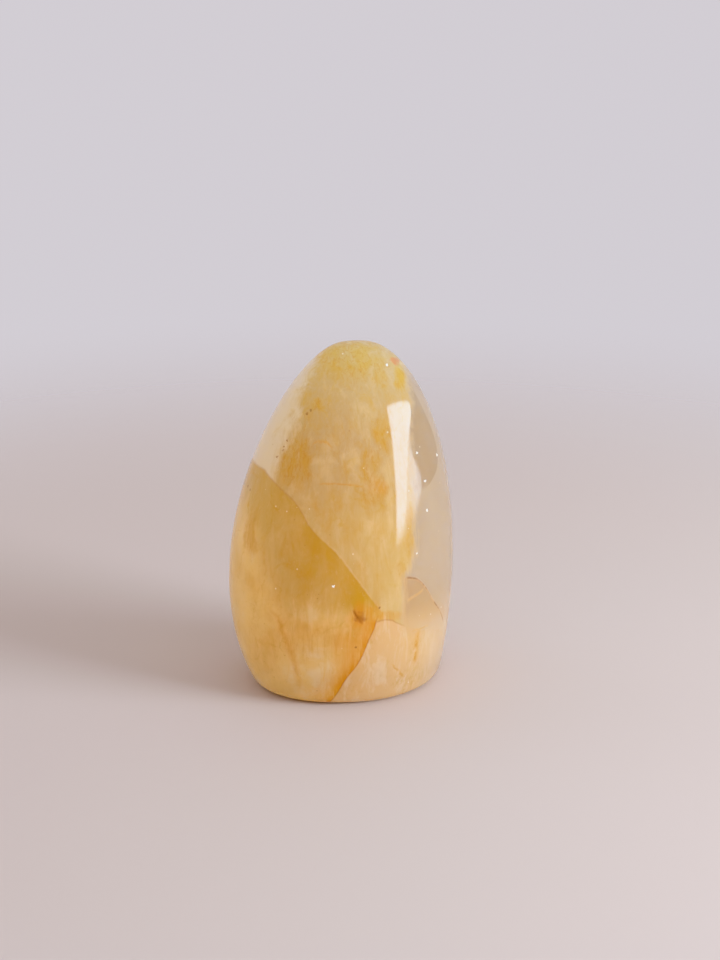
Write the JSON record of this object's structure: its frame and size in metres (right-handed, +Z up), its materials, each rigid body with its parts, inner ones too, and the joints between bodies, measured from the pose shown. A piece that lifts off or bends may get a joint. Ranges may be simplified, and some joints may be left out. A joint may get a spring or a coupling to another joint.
{
  "type": "golden quartz freeform",
  "caption": "Hand-polished upright freeform of translucent golden quartz with a rounded crest and a flat foot, free-standing for display.",
  "frame": {"origin": "on the surface that the stone stands on, under the middle of its bounding box", "axes": "+Z up, from the foot to the crest; the broad polished face shown in the picture looks along -Y; +X to the right of that face"},
  "size_m": [0.052, 0.045, 0.08],
  "materials": {
    "golden_quartz": "polished"
  },
  "bodies": {
    "root": {"quartz_freeform": "golden_quartz"}
  },
  "joints": []
}
